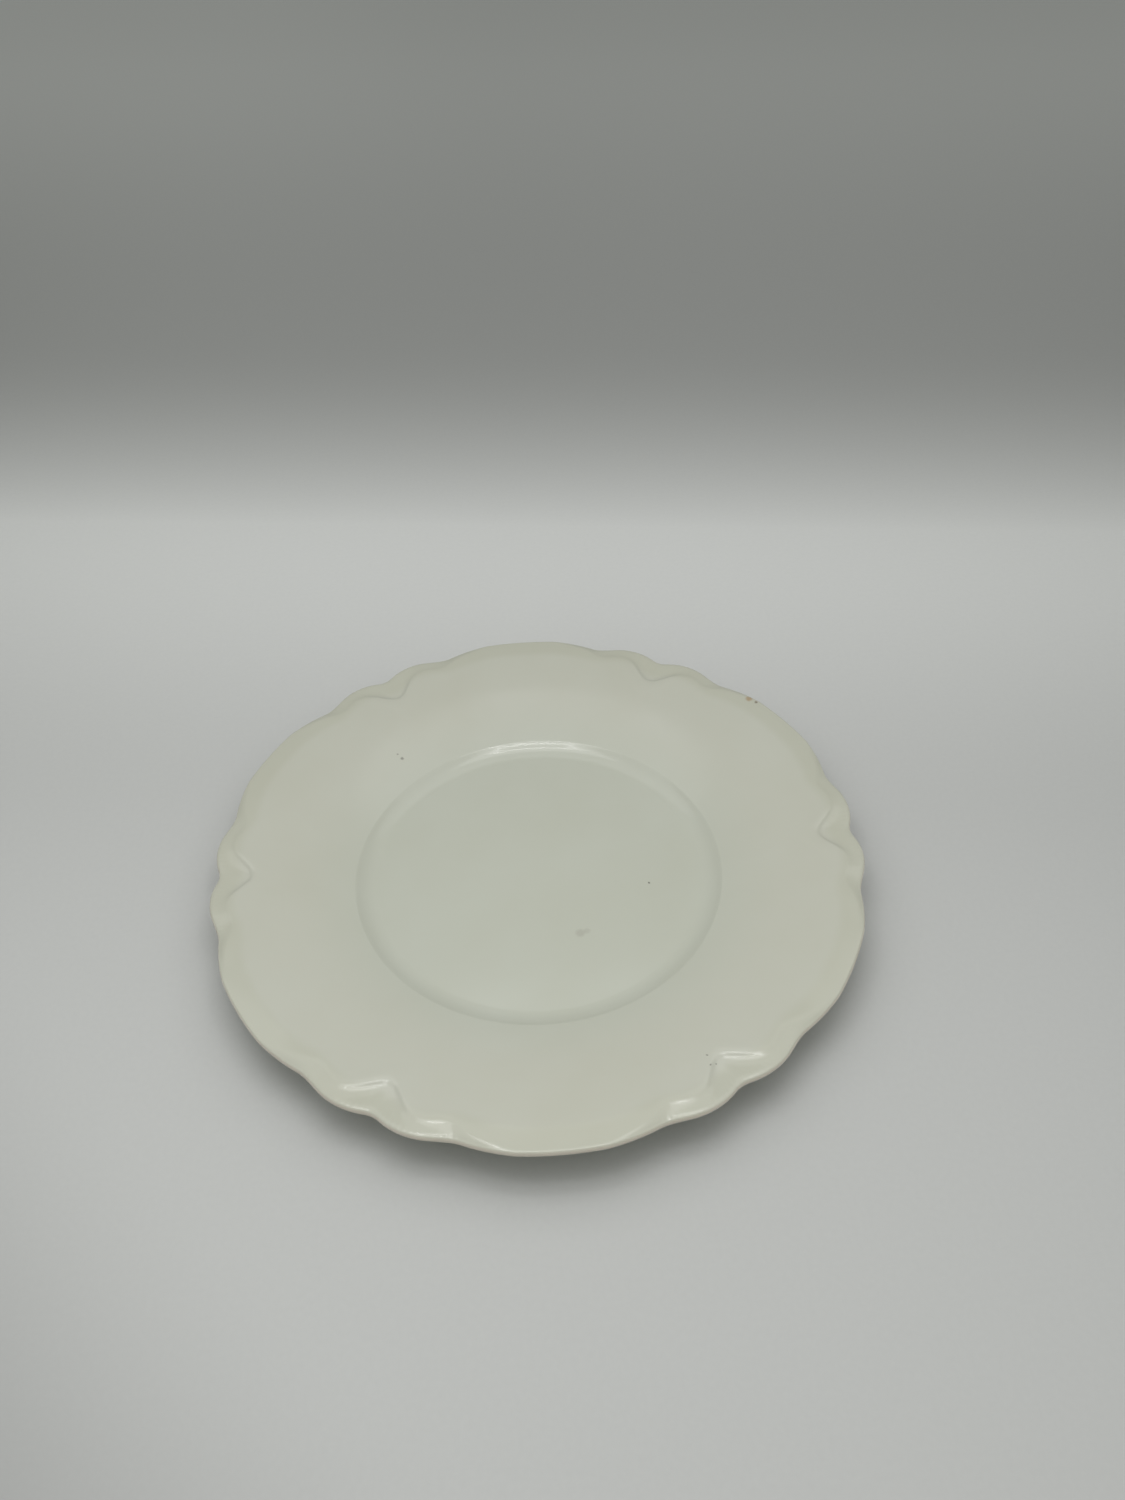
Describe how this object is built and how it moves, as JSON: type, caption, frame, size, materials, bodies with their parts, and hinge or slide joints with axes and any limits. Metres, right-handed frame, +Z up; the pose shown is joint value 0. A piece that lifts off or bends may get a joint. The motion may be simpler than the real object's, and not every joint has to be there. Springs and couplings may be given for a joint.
{
  "type": "scalloped dessert plate",
  "caption": "Round ivory glazed dessert plate with a flat well, a sloping rim and a scalloped, ruffled border in low relief, standing on a low foot ring.",
  "frame": {"origin": "centre of the foot's standing edge, on the table", "axes": "+Z up out of the well; +X through a cusp of the scalloped edge; +Y through the middle of a long petal"},
  "size_m": [0.19, 0.192, 0.018],
  "materials": {
    "ivory_glaze": "smooth, glossy, slightly warm white glaze over a white earthenware body",
    "bare_clay": "unglazed clay, ground flat and smooth, matt and faintly stained"
  },
  "bodies": {
    "root": {"well": "ivory_glaze", "verge": "ivory_glaze", "rim": "ivory_glaze", "scalloped_border": "ivory_glaze", "foot_ring": "ivory_glaze", "standing_edge": "bare_clay"}
  },
  "joints": []
}
